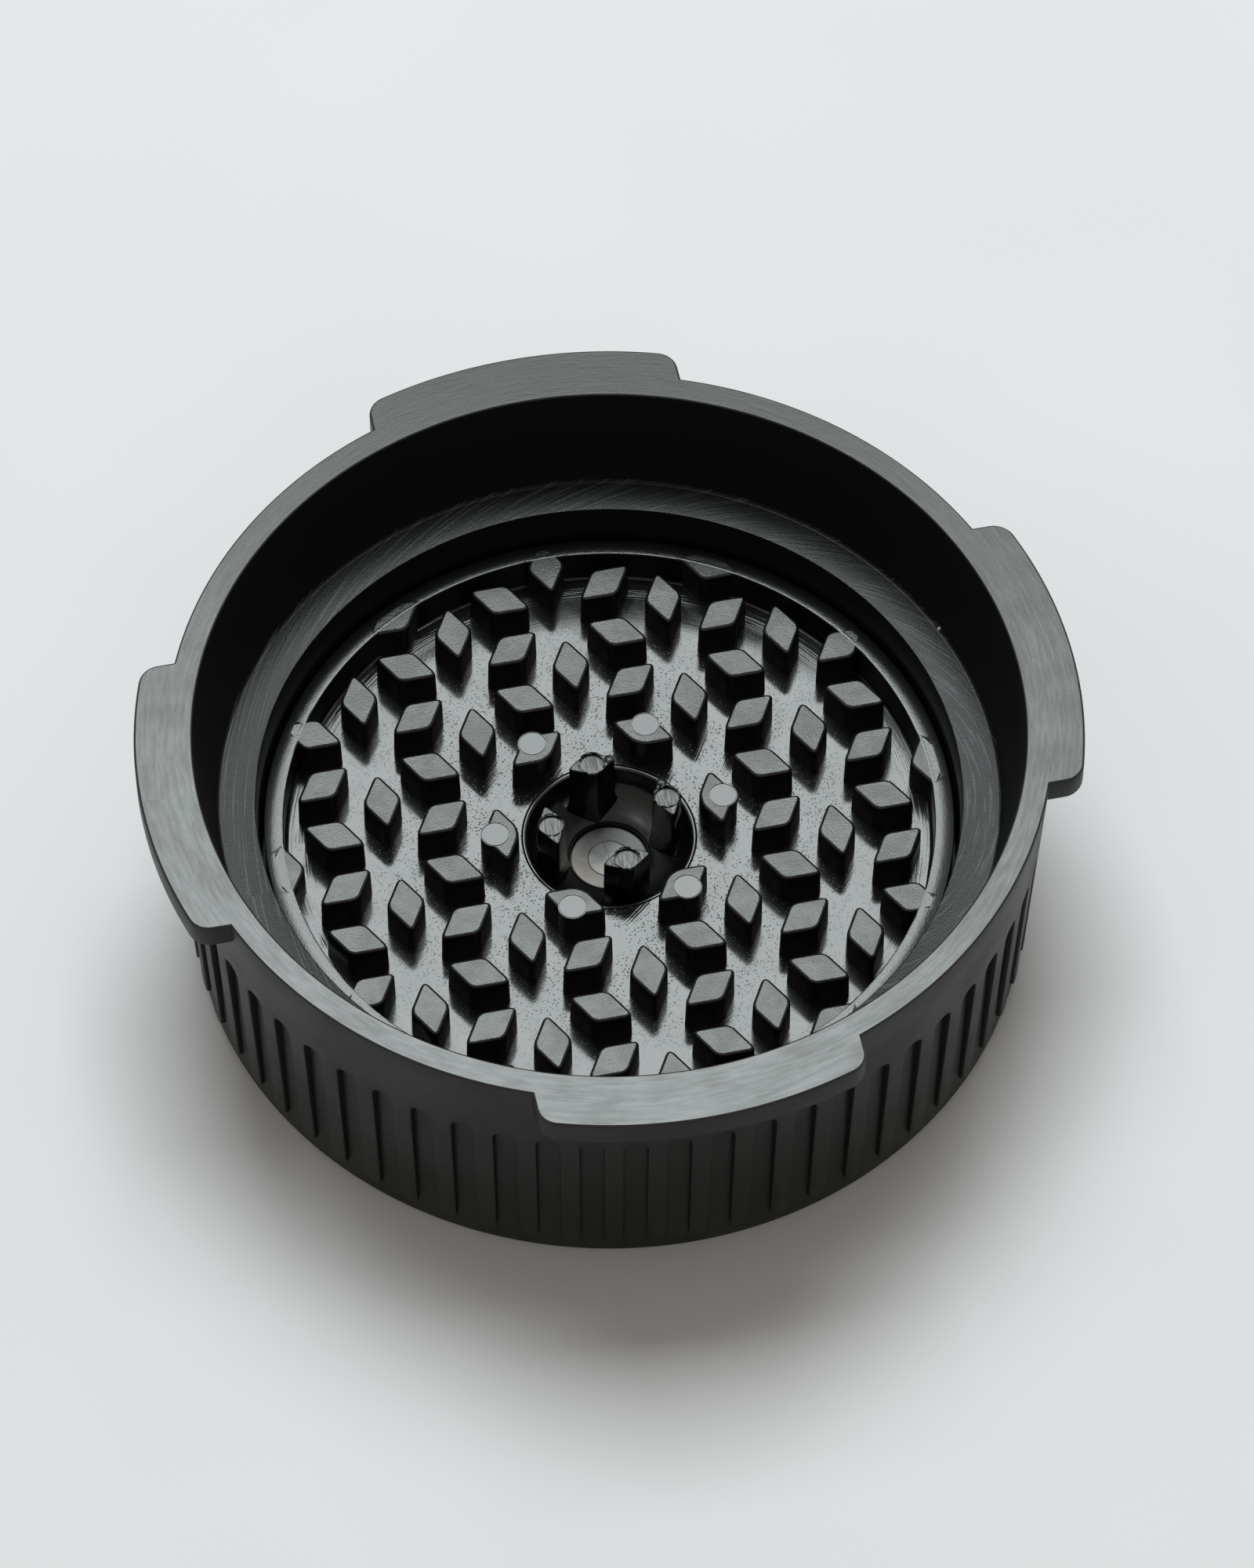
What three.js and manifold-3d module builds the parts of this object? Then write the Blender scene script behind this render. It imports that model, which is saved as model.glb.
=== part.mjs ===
// Bayonet filter cap for a manual coffee press, standing on its outer face with the open side up.
//
// Millimetres, +Z up. The origin is the middle of the underside; the four bayonet lugs point
// along +X, +Y, -X and -Y. The cap is a moulded shell with a ledge for the filter disc, a peg
// floor under it that holds the disc up, and in the middle a small cup with a silicone slit
// valve that opens downwards under pressure. A retainer and a base cover close it from below.

import * as THREE from 'three';
import { mergeVertices } from 'three/addons/utils/BufferGeometryUtils.js';
import Module from 'manifold-3d';

const wasm = await Module();
wasm.setup();

// ---- driving dimensions ---------------------------------------------------------------------

const HEIGHT = 23.8;              // whole cap, underside to rim
const ROUND_STEPS = 64;           // facets round the large pieces
const SMALL_STEPS = 32;           // facets round the valve pieces
const CLEARANCE = 0.1;            // gap between pieces that sit against each other

// shell: outer wall
const BASE_R = 33.27;             // outer wall at the underside
const WALL_TOP_R = 33.5;          // the same wall, between the ribs, at the band's lower edge
const BAND_Z = 16.85;             // lower edge of the plain band under the rim
const BAND_LOW_R = 34.2;
const RIM_R = 34.42;
const EDGE = 0.15;                // broken edges of the moulding
const FOOT_ROUND = 0.3;           // rounded outer edge of the underside

// shell: inside
const BORE_R = 32.34;             // at the rim
const BORE_FOOT_R = 30.9;         // where the tapered bore meets the ledge
const LEDGE_Z = 14.55;
const LEDGE_R = 27.8;             // inner edge of the ledge
const SEAT_R = 27.6;              // inner wall where the peg floor sits
const FLANGE = { innerR: 24.8, top: 5.7, bottom: 4.2 };
const CORE = { innerR: 29.5, outerR: 31.2, top: 12.6 };   // ring-shaped core-out, open below

// bayonet lugs
const LUG_COUNT = 4;
const LUG_R = 36.86;
const LUG_HALF_WIDTH = 12.6;
const LUG_THICK = 2.3;
const LUG_CORNER = 1.2;
const LUG_ROOT_R = 33.4;          // inside the wall, where the lug is joined to it

// grip ribs
const RIB_COUNT = 64;
const RIB_WIDTH = 1.5;
const RIB_FOOT_Z = 1.75;
const RIB_HEAD_Z = 17.3;          // inside the band
const RIB_FOOT_R = 33.6;
const RIB_HEAD_R = 34.15;
const RIB_DEPTH = 1.2;            // most of it inside the wall
const RIB_END_STEPS = 2;          // facets in a quarter of the rib's round end

// peg floor
const FLOOR_R = 27.3;
const FLOOR_Z = 8.25;
const FLOOR_UNDER_Z = 6.45;
const PEG_TOP_Z = 11.25;
const RING_R = 25.75;             // inner edge of the raised ring round the pegs
const WELL_HOLE_R = 7.0;
const PEG_PITCH = 10;             // side of the triangular lattice that carries the pegs
const PEG_HALF_LONG = 2.8;        // a 60 degree rhombus, before its corners are cut
const PEG_CORNER_CUT = 0.2;
const PEG_DRAFT = 0.1;            // how much wider a peg is at its foot, each way
const PEG_FIRST_R = 8;            // the sites nearer than this are left out for the well
const PEG_LAST_R = 26.2;
const PEG_TRIM_R = 26.6;          // the outermost pegs end inside the ring
const EJECTOR = { circleR: 9.2, r: 1.15, count: 6, steps: 16 };

// valve cup
const CUP_R = WELL_HOLE_R - CLEARANCE;
const CUP_FOOT_Z = 2.4;
const WELL_RIM_R = 6.6;
const WELL_FOOT_R = 6.1;
const WELL_FLOOR_Z = 5.65;
const WELL_FILLET = 0.35;
const CUP_FLOOR_UNDER_Z = 4.45;
const CUP_POCKET_R = 5.6;         // pocket under the cup's floor, for the valve and its retainer
const OUTLET_R = 3.15;
const CUP_TURN = 5;               // the cup and its valve sit turned against the peg pattern
const POST = { count: 4, circleR: 4.76, halfLong: 2.1, halfShort: 1.1, cut: 0.25, topZ: 11.8 };
const POST_MARK = { r: 0.95, depth: 0.15 };   // shallow ejector-pin mark on top of each post
const POST_MARK_STEPS = 16;

// silicone valve
const VALVE_TOP_Z = 5.1;
const VALVE_R = 3.09;
const VALVE_FLANGE = { r: 5.3, top: CUP_FLOOR_UNDER_Z - CLEARANCE, bottom: 3.55 };
const VALVE_LIP = { r: 1.72, thick: 0.15, flareR: 2.4, flareZ: 4.5 };
const PETAL_COUNT = 4;
const PETAL = { topR: 1.65, footR: 1.3, thick: 0.6, turn: CUP_TURN + 45 };
const SLIT = 0.06;

// retainer and base cover
const RETAINER = { innerR: 2.8, outerR: 5.4, bottom: 2.2, top: 3.45 };
const COVER = { r: 31.0, bottom: 0.5, top: 2.1, skirtR: 29.8, skirtTop: 5.5 };
const COVER_COLLAR = { innerR: 7.2, outerR: 8.4, top: 4.5 };
const COVER_OUTLET = { lowR: 5.2, highR: 3.6 };
const SEAL = { innerR: 25.2, outerR: 27.2, bottom: FLANGE.top + CLEARANCE };

// ---- materials ------------------------------------------------------------------------------

function plastic(name, color, roughness) {
  const material = new THREE.MeshStandardMaterial({ color, roughness, metalness: 0 });
  material.name = name;
  return material;
}

const shellBlack = plastic('shell_plastic', 0x1d2022, 0.45);
const floorBlack = plastic('floor_plastic', 0x17191b, 0.25);
const coverBlack = plastic('cover_plastic', 0x1b1d1f, 0.5);
const siliconeGrey = plastic('silicone', 0x8c8b86, 0.55);

// ---- geometry helpers -----------------------------------------------------------------------

const radians = THREE.MathUtils.degToRad;

/** Leaves only positions, joins equal vertices and turns the faces outwards. */
function closed(geometry) {
  const bare = geometry.clone();
  bare.deleteAttribute('normal');
  bare.deleteAttribute('uv');
  const merged = mergeVertices(bare, 1e-5);
  const p = merged.attributes.position;
  const corners = Array.from(merged.index.array);
  const kept = [];
  for (let i = 0; i < corners.length; i += 3) {
    const [a, b, c] = corners.slice(i, i + 3);
    if (a !== b && b !== c && c !== a) kept.push([a, b, c]);
  }
  const at = (i) => new THREE.Vector3().fromBufferAttribute(p, i);
  const volume = kept.reduce((sum, [a, b, c]) => sum + at(a).dot(at(b).cross(at(c))), 0);
  const outward = volume < 0 ? kept.map(([a, b, c]) => [a, c, b]) : kept;
  merged.setIndex(outward.flat());
  return merged;
}

function solid(geometry) {
  const g = closed(geometry);
  return new wasm.Manifold(new wasm.Mesh({
    numProp: 3,
    vertProperties: new Float32Array(g.attributes.position.array),
    triVerts: new Uint32Array(g.index.array),
  }));
}

function fromSolid(manifold) {
  const { vertProperties, triVerts } = manifold.getMesh();
  const geometry = new THREE.BufferGeometry();
  geometry.setAttribute('position', new THREE.BufferAttribute(new Float32Array(vertProperties), 3));
  geometry.setIndex(new THREE.BufferAttribute(new Uint32Array(triVerts), 1));
  return geometry;
}

const join = (solids) => solids.reduce((whole, next) => whole.add(next));

/** Turns a closed outline of [radius, height] points round the Z axis. */
function turned(outline, steps = ROUND_STEPS) {
  const points = [...outline, outline[0]].map(([r, z]) => new THREE.Vector2(r, z));
  return closed(new THREE.LatheGeometry(points, steps).rotateX(Math.PI / 2));
}

/** A flat outline raised from z = low to z = high. */
function raised(shape, low, high, curveSegments = 6) {
  const options = { depth: high - low, bevelEnabled: false, curveSegments };
  return new THREE.ExtrudeGeometry(shape, options).translate(0, 0, low);
}

/** An upright cylinder or cone from z = low to z = high. */
function upright(footR, topR, low, high, steps) {
  return new THREE.CylinderGeometry(topR, footR, high - low, steps)
    .rotateX(Math.PI / 2)
    .translate(0, 0, (low + high) / 2);
}

/** A rhombus with its long diagonal along X; the two sharp corners are cut off. */
function cutRhombus(halfLong, halfShort, cut) {
  const cutY = (cut * halfShort) / halfLong;
  return [
    [halfLong - cut, -cutY], [halfLong - cut, cutY], [0, halfShort],
    [cut - halfLong, cutY], [cut - halfLong, -cutY], [0, -halfShort],
  ].map(([x, y]) => new THREE.Vector2(x, y));
}

/** A drafted prism: `top` at the higher level, the same outline grown by `draft` at the lower. */
function drafted(top, draft, low, high) {
  const count = top.length;
  const grown = top.map((point) => point.clone().setLength(point.length() + draft));
  const positions = [
    ...grown.flatMap((point) => [point.x, point.y, low]),
    ...top.flatMap((point) => [point.x, point.y, high]),
  ];
  const faces = [];
  for (let i = 0; i < count; i++) {
    const next = (i + 1) % count;
    faces.push(i, next, count + next, i, count + next, count + i);
  }
  for (let i = 1; i < count - 1; i++) {
    faces.push(0, i + 1, i, count, count + i, count + i + 1);
  }
  const geometry = new THREE.BufferGeometry();
  geometry.setAttribute('position', new THREE.Float32BufferAttribute(positions, 3));
  geometry.setIndex(faces);
  return geometry;
}

// ---- cap shell ------------------------------------------------------------------------------

function shellBody() {
  return turned([
    [CORE.outerR, 0],
    [BASE_R - FOOT_ROUND, 0],
    [BASE_R, FOOT_ROUND],
    [WALL_TOP_R, BAND_Z],
    [BAND_LOW_R, BAND_Z],
    [RIM_R, HEIGHT - EDGE],
    [RIM_R - EDGE, HEIGHT],
    [BORE_R + EDGE, HEIGHT],
    [BORE_R, HEIGHT - EDGE],
    [BORE_FOOT_R, LEDGE_Z],
    [LEDGE_R, LEDGE_Z],
    [SEAT_R, FLANGE.top],
    [FLANGE.innerR, FLANGE.top],
    [FLANGE.innerR, FLANGE.bottom],
    [CORE.innerR, FLANGE.bottom],
    [CORE.innerR, CORE.top],
    [CORE.outerR, CORE.top],
  ]);
}

/** One lug on +X: parallel sides, an outer face on the lug circle, rounded corners. */
function lug() {
  const cornerY = LUG_HALF_WIDTH - LUG_CORNER;
  const cornerX = Math.sqrt((LUG_R - LUG_CORNER) ** 2 - cornerY ** 2);
  const outerTurn = Math.atan2(cornerY, cornerX);
  const rootTurn = Math.asin(LUG_HALF_WIDTH / LUG_ROOT_R);
  const outline = new THREE.Shape();
  outline.absarc(0, 0, LUG_R, -outerTurn, outerTurn, false);
  outline.absarc(cornerX, cornerY, LUG_CORNER, outerTurn, Math.PI / 2, false);
  outline.absarc(0, 0, LUG_ROOT_R, rootTurn, -rootTurn, true);
  outline.absarc(cornerX, -cornerY, LUG_CORNER, -Math.PI / 2, -outerTurn, false);
  return raised(outline, HEIGHT - LUG_THICK, HEIGHT);
}

/** One upright grip rib on +X, with a round lower end and an outer face that leans outwards. */
function rib() {
  const half = RIB_WIDTH / 2;
  const outline = new THREE.Shape();
  outline.absarc(0, half, half, Math.PI, 2 * Math.PI, false);
  outline.lineTo(half, RIB_HEAD_Z - RIB_FOOT_Z);
  outline.lineTo(-half, RIB_HEAD_Z - RIB_FOOT_Z);
  outline.closePath();
  const lean = Math.atan2(RIB_HEAD_R - RIB_FOOT_R, BAND_Z - RIB_FOOT_Z);
  return new THREE.ExtrudeGeometry(outline, {
    depth: RIB_DEPTH, bevelEnabled: false, curveSegments: RIB_END_STEPS,
  })
    .translate(0, 0, -RIB_DEPTH)
    .rotateX(Math.PI / 2 + lean)
    .rotateZ(Math.PI / 2)
    .translate(RIB_FOOT_R, 0, RIB_FOOT_Z);
}

function around(make, count, firstTurn = 0) {
  const one = solid(make());
  return Array.from({ length: count }, (_, i) => one.rotate([0, 0, firstTurn + (i * 360) / count]));
}

function capShell() {
  return fromSolid(join([
    solid(shellBody()),
    ...around(lug, LUG_COUNT),
    ...around(rib, RIB_COUNT),
  ]));
}

// ---- peg floor ------------------------------------------------------------------------------

/** Pegs stand on the middles of the edges of a triangular lattice, each along its edge. */
function pegSites() {
  const edges = [30, 90, 150].map((turn) => ({
    turn: radians(turn),
    step: new THREE.Vector2(Math.cos(radians(turn)), Math.sin(radians(turn))).multiplyScalar(PEG_PITCH),
  }));
  const [first, second] = edges;
  const reach = Math.ceil(PEG_LAST_R / PEG_PITCH) + 2;
  const sites = [];
  for (let i = -reach; i <= reach; i++) {
    for (let j = -reach; j <= reach; j++) {
      const corner = first.step.clone().multiplyScalar(i).addScaledVector(second.step, j);
      for (const { turn, step } of edges) {
        const middle = corner.clone().addScaledVector(step, 0.5);
        const r = middle.length();
        if (r > PEG_FIRST_R && r < PEG_LAST_R) sites.push({ middle, turn });
      }
    }
  }
  return sites;
}

function peg() {
  const outline = cutRhombus(PEG_HALF_LONG, PEG_HALF_LONG / Math.sqrt(3), PEG_CORNER_CUT);
  return drafted(outline, PEG_DRAFT, FLOOR_Z - 0.5, PEG_TOP_Z);
}

function floorPlate() {
  return turned([
    [WELL_HOLE_R, FLOOR_UNDER_Z],
    [FLOOR_R, FLOOR_UNDER_Z],
    [FLOOR_R, PEG_TOP_Z],
    [RING_R, PEG_TOP_Z],
    [RING_R, FLOOR_Z],
    [WELL_HOLE_R, FLOOR_Z],
  ]);
}

function pegFloor() {
  const onePeg = solid(peg());
  const pegs = pegSites().map(({ middle, turn }) => onePeg
    .rotate([0, 0, THREE.MathUtils.radToDeg(turn)])
    .translate([middle.x, middle.y, 0]));
  const trim = solid(upright(PEG_TRIM_R, PEG_TRIM_R, 0, HEIGHT, ROUND_STEPS));
  const pinBoss = () => upright(EJECTOR.r, EJECTOR.r, FLOOR_Z - 0.5, PEG_TOP_Z, EJECTOR.steps)
    .translate(EJECTOR.circleR, 0, 0);
  return fromSolid(join([
    solid(floorPlate()),
    join(pegs).intersect(trim),
    ...around(pinBoss, EJECTOR.count),
  ]));
}

// ---- valve cup ------------------------------------------------------------------------------

function cupBody() {
  return turned([
    [CUP_POCKET_R, CUP_FOOT_Z],
    [CUP_R, CUP_FOOT_Z],
    [CUP_R, FLOOR_Z],
    [WELL_RIM_R, FLOOR_Z],
    [WELL_FOOT_R, WELL_FLOOR_Z + WELL_FILLET],
    [WELL_FOOT_R - WELL_FILLET, WELL_FLOOR_Z],
    [OUTLET_R, WELL_FLOOR_Z],
    [OUTLET_R, CUP_FLOOR_UNDER_Z],
    [CUP_POCKET_R, CUP_FLOOR_UNDER_Z],
  ], SMALL_STEPS);
}

function post() {
  const outline = cutRhombus(POST.halfLong, POST.halfShort, POST.cut);
  return drafted(outline, PEG_DRAFT, WELL_FLOOR_Z - 0.5, POST.topZ)
    .rotateZ(Math.PI / 2)
    .translate(POST.circleR, 0, 0);
}

function postMark() {
  return upright(POST_MARK.r, POST_MARK.r, POST.topZ - POST_MARK.depth, POST.topZ + 1, POST_MARK_STEPS)
    .translate(POST.circleR, 0, 0);
}

function valveCup() {
  const cup = join([solid(cupBody()), ...around(post, POST.count, CUP_TURN)]);
  return fromSolid(cup.subtract(join(around(postMark, POST.count, CUP_TURN))));
}

// ---- valve ----------------------------------------------------------------------------------

function valveFlange() {
  return turned([
    [VALVE_LIP.flareR, VALVE_FLANGE.bottom],
    [VALVE_FLANGE.r, VALVE_FLANGE.bottom],
    [VALVE_FLANGE.r, VALVE_FLANGE.top],
    [VALVE_R, VALVE_FLANGE.top],
    [VALVE_R, VALVE_TOP_Z],
    [VALVE_LIP.r, VALVE_TOP_Z],
    [VALVE_LIP.r, VALVE_TOP_Z - VALVE_LIP.thick],
    [VALVE_LIP.flareR, VALVE_LIP.flareZ],
  ], SMALL_STEPS);
}

/** A quarter of the slit disc: a quarter of a flat cone, its tip at the middle of the valve. */
function valvePetal(index) {
  const low = VALVE_TOP_Z - PETAL.thick;
  const disc = solid(upright(PETAL.footR, PETAL.topR, low, VALVE_TOP_Z, SMALL_STEPS));
  const size = 2 * PETAL.topR;
  const quarter = new THREE.BoxGeometry(size, size, size)
    .translate((size + SLIT) / 2, (size + SLIT) / 2, VALVE_TOP_Z)
    .rotateZ(-Math.PI / 4);
  return fromSolid(disc.intersect(solid(quarter)).rotate([0, 0, PETAL.turn + index * 90]));
}

// ---- retainer, seal and base cover ------------------------------------------------------------

function ring({ innerR, outerR, bottom, top }, steps) {
  return turned([[innerR, bottom], [outerR, bottom], [outerR, top], [innerR, top]], steps);
}

function baseCover() {
  return turned([
    [COVER_OUTLET.lowR, COVER.bottom],
    [COVER.r, COVER.bottom],
    [COVER.r, COVER.skirtTop],
    [COVER.skirtR, COVER.skirtTop],
    [COVER.skirtR, COVER.top],
    [COVER_COLLAR.outerR, COVER.top],
    [COVER_COLLAR.outerR, COVER_COLLAR.top],
    [COVER_COLLAR.innerR, COVER_COLLAR.top],
    [COVER_COLLAR.innerR, COVER.top],
    [COVER_OUTLET.highR, COVER.top],
  ]);
}

// ---- assembly -------------------------------------------------------------------------------

const cap = new THREE.Group();
cap.name = 'bayonet_filter_cap';

function place(name, geometry, material) {
  const mesh = new THREE.Mesh(geometry, material);
  mesh.name = name;
  cap.add(mesh);
}

place('cap_shell', capShell(), shellBlack);
place('peg_floor', pegFloor(), floorBlack);
place('floor_seal', ring({ ...SEAL, top: FLOOR_UNDER_Z - CLEARANCE }), siliconeGrey.clone());
place('valve_cup', valveCup(), floorBlack.clone());
place('valve_flange', valveFlange(), siliconeGrey.clone());
for (let i = 0; i < PETAL_COUNT; i++) {
  place(`valve_petal_${i + 1}`, valvePetal(i), siliconeGrey.clone());
}
place('valve_retainer', ring(RETAINER, SMALL_STEPS), coverBlack.clone());
place('base_cover', baseCover(), coverBlack);

export default cap;
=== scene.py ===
# %% [markdown]
# # A bayonet filter cap for a manual coffee press
# The cap is one black moulding, 74 mm across its four locking lugs and 24 mm high, and it
# stands on its outer face. So we look into the side that holds the filter: a ledge for the
# paper, a floor of small pegs that holds the paper up, and in the middle a cup with a soft slit
# valve. The CAD frame already gives every piece its exact place. Here each piece gets the
# rounded edges, tool marks and finish that a mould and its maker leave on the real thing.

# %% Load the fixed frame
import math

import bmesh
import bpy
from mathutils import Matrix, Vector


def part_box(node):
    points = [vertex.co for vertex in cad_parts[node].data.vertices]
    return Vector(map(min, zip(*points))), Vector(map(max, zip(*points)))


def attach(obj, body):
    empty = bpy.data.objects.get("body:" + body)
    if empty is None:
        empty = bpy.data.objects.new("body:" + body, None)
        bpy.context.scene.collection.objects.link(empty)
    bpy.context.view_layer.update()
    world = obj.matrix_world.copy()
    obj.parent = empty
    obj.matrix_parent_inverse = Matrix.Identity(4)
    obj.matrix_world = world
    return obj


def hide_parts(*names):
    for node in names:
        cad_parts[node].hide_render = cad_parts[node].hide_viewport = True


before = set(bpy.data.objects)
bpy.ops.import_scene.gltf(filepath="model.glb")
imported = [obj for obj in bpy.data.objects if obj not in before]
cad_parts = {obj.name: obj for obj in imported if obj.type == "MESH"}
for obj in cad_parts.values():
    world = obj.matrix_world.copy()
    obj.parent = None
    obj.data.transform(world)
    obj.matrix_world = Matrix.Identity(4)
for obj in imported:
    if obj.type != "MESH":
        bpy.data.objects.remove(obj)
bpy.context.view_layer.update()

MM = 0.001
SHELL_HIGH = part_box("cap_shell")[1]
RIM_Z = SHELL_HIGH.z / MM
LUG_R = SHELL_HIGH.x / MM
PEG_TOP_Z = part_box("peg_floor")[1].z / MM
print(f"cap {2 * LUG_R:.2f} mm across the lugs, {RIM_Z:.2f} mm high; pegs end at {PEG_TOP_Z:.2f}")

# %% [markdown]
# ## Working by place
# Every operator acts on what is selected, so each step first lets go of everything and then
# picks vertices, edges or faces by where they are. These helpers keep the later cells short:
# `shape` opens a piece for editing, `pick` selects by a test on the middle of an element in
# millimetres, and `finished` merges doubles, turns the faces outwards, smooths all but the level
# faces and reports the piece.

# %% Helpers for picking and finishing
def only(piece):
    if bpy.context.object and bpy.context.object.mode == "EDIT":
        bpy.ops.object.mode_set(mode="OBJECT")
    bpy.ops.object.select_all(action="DESELECT")
    piece.select_set(True)
    bpy.context.view_layer.objects.active = piece


def started(name):
    """Names the primitive just added and puts its place into its mesh."""
    piece = bpy.context.object
    piece.name = piece.data.name = name
    only(piece)
    bpy.ops.object.transform_apply(location=True, rotation=True, scale=True)
    return piece


def shape(piece):
    only(piece)
    bpy.ops.object.mode_set(mode="EDIT")
    bpy.ops.mesh.select_mode(type="VERT")
    bpy.ops.mesh.select_all(action="DESELECT")


def pick(kind, test):
    """Selects the vertices, edges or faces whose middle, in mm, passes the test."""
    bpy.ops.mesh.select_mode(type=kind)
    bpy.ops.mesh.select_all(action="DESELECT")
    mesh = bmesh.from_edit_mesh(bpy.context.object.data)
    many = {"VERT": mesh.verts, "EDGE": mesh.edges, "FACE": mesh.faces}[kind]
    count = 0
    for one in many:
        if kind == "VERT":
            middle = one.co / MM
        elif kind == "EDGE":
            middle = (one.verts[0].co + one.verts[1].co) / (2 * MM)
        else:
            middle = one.calc_center_median() / MM
        if test(middle, one):
            one.select_set(True)
            count += 1
    mesh.select_flush_mode()
    bmesh.update_edit_mesh(bpy.context.object.data, loop_triangles=False, destructive=False)
    return count


def near(a, b, slack=0.004):
    return abs(a - b) < slack


def away(point):
    """How far a point is from the cap's upright axis."""
    return math.hypot(point.x, point.y)


def on_circle(radius, angle):
    """X and Y of a point on a circle round that axis."""
    return radius * math.cos(angle), radius * math.sin(angle)


def move(x=0.0, y=0.0, z=0.0):
    bpy.ops.transform.translate(value=(x * MM, y * MM, z * MM))


def widen(factor, centre=(0, 0, 0)):
    bpy.ops.transform.resize(value=(factor, factor, 1), center_override=centre)


def slice_at(place, facing, **how):
    """Cuts everything with a plane; the threshold keeps the cut from snapping to nearby points."""
    bpy.ops.mesh.select_all(action="SELECT")
    bpy.ops.mesh.bisect(plane_co=[v * MM for v in place], plane_no=facing, threshold=1e-8, **how)


WELD, SEAM_WELD = 2e-6, 4e-6                 # metres; the wall's seams are a little less exact
SMOOTH_BELOW = math.radians(32)
LEVEL = 0.99999                              # the upright part of a level face's normal


def finished(piece):
    """Welds the piece, turns its faces outwards and smooths all but sharp edges and level faces."""
    only(piece)
    bpy.ops.object.mode_set(mode="EDIT")
    bpy.ops.mesh.select_all(action="SELECT")
    bpy.ops.mesh.remove_doubles(threshold=WELD)
    bpy.ops.mesh.normals_make_consistent(inside=False)
    bpy.ops.object.mode_set(mode="OBJECT")
    bpy.ops.object.shade_smooth_by_angle(angle=SMOOTH_BELOW)
    shape(piece)
    pick("FACE", lambda mid, face: abs(face.normal.z) > LEVEL)
    bpy.ops.mesh.faces_shade_flat()
    bpy.ops.object.mode_set(mode="OBJECT")
    size = [round(v / MM, 2) for v in piece.dimensions]
    print(f"{piece.name}: {len(piece.data.polygons)} faces, {size} mm")
    return piece


def copied(piece, name, turn=0.0, x=0.0, y=0.0):
    """A copy with its own mesh, turned about the axis and moved, both already in the mesh."""
    only(piece)
    bpy.ops.object.duplicate(linked=False)
    copy = bpy.context.object
    copy.rotation_euler.z = turn
    copy.location = (x * MM, y * MM, 0)
    return started(name)


def joined(pieces, name):
    only(pieces[0])
    for other in pieces[1:]:
        other.select_set(True)
    if len(pieces) > 1:
        bpy.ops.object.join()
    pieces[0].name = pieces[0].data.name = name
    return pieces[0]


def combined(piece, tool, operation):
    """Joins, cuts or intersects with an exact boolean, and throws the tool away."""
    only(piece)
    before = len(piece.data.vertices)
    cut = piece.modifiers.new(operation.lower(), "BOOLEAN")
    cut.operation, cut.solver, cut.object = operation, "EXACT", tool
    bpy.ops.object.modifier_apply(modifier=cut.name)
    bpy.data.objects.remove(tool)
    if operation == "UNION" and len(piece.data.vertices) < before:
        raise RuntimeError(f"{piece.name} lost material in a union")
    return piece


# %% [markdown]
# ## Round pieces
# Most of the cap was turned when its mould was made, so it is round. A lathe profile could be
# spun, but pulling a circle from one ring to the next is closer to how one thinks about a
# turned part: wider, up, narrower. Rings that should look moulded are then bevelled, because
# no moulded edge is perfectly sharp and the thin highlight on it is what the eye reads.

# %% Pull a ring from profile point to profile point
def pull(here, there):
    """Extrudes the selected ring from one (radius, height) to the next."""
    bpy.ops.mesh.extrude_edges_move()
    widen(there[0] / here[0])
    move(z=there[1] - here[1])


def round_ring(radius, z, width, segments):
    """Bevels the ring of edges at that radius and height."""
    found = pick("EDGE", lambda mid, edge: all(
        near(away(v.co) / MM, radius, 0.01) and near(v.co.z / MM, z) for v in edge.verts))
    bpy.ops.mesh.bevel(offset=width * MM, segments=segments, affect="EDGES")
    return found


def turned(name, profile, steps, rounds=()):
    """A closed ring-shaped piece; rounds lists (profile index, width, segments)."""
    bpy.ops.mesh.primitive_circle_add(
        vertices=steps, radius=profile[0][0] * MM, location=(0, 0, profile[0][1] * MM))
    piece = started(name)
    shape(piece)
    bpy.ops.mesh.select_mode(type="EDGE")
    bpy.ops.mesh.select_all(action="SELECT")
    for here, there in zip(profile, profile[1:]):
        pull(here, there)
    pick("EDGE", lambda mid, edge: edge.is_boundary)
    bpy.ops.mesh.bridge_edge_loops()
    for index, width, segments in rounds:
        round_ring(*profile[index], width, segments)
    bpy.ops.object.mode_set(mode="OBJECT")
    return piece


# %% [markdown]
# ## The grip wall
# Sixty-four ribs run up the outside, each with a round foot, and the grooves between them end
# in small arches under a plain band. Modelling one flat tile, a rib with half a groove on each
# side, is far easier than working on a curve. An Array modifier then lays 64 tiles in a row and
# a Simple Deform bends the row into a closed ring, which also keeps every rib identical.

# %% One flat tile of the wall
RIBS = 64
WALL_FOOT_R, WALL_HEAD_R = 33.27, 33.5       # wall between the ribs, at the underside and band
RIB_FOOT_R, RIM_R = 33.6, 34.42              # rib faces lean out in one line with the band
RIB_FOOT_Z, BAND_Z = 1.75, 16.85
FOOT_EDGE = 0.3
TILE = 2 * math.pi * WALL_FOOT_R / RIBS
RIB_FACE_R, RIB_FACE_HALF = 33.9, 0.75       # half a rib's width, out at its face
RIB_HALF = RIB_FACE_HALF * WALL_FOOT_R / RIB_FACE_R
PROUD = 0.6                                  # how far ribs stand out until they are leaned
FOOT_ROUND, ARCH_ROUND, OUTLINE_ROUND = 0.7, 0.82, 0.11


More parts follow.
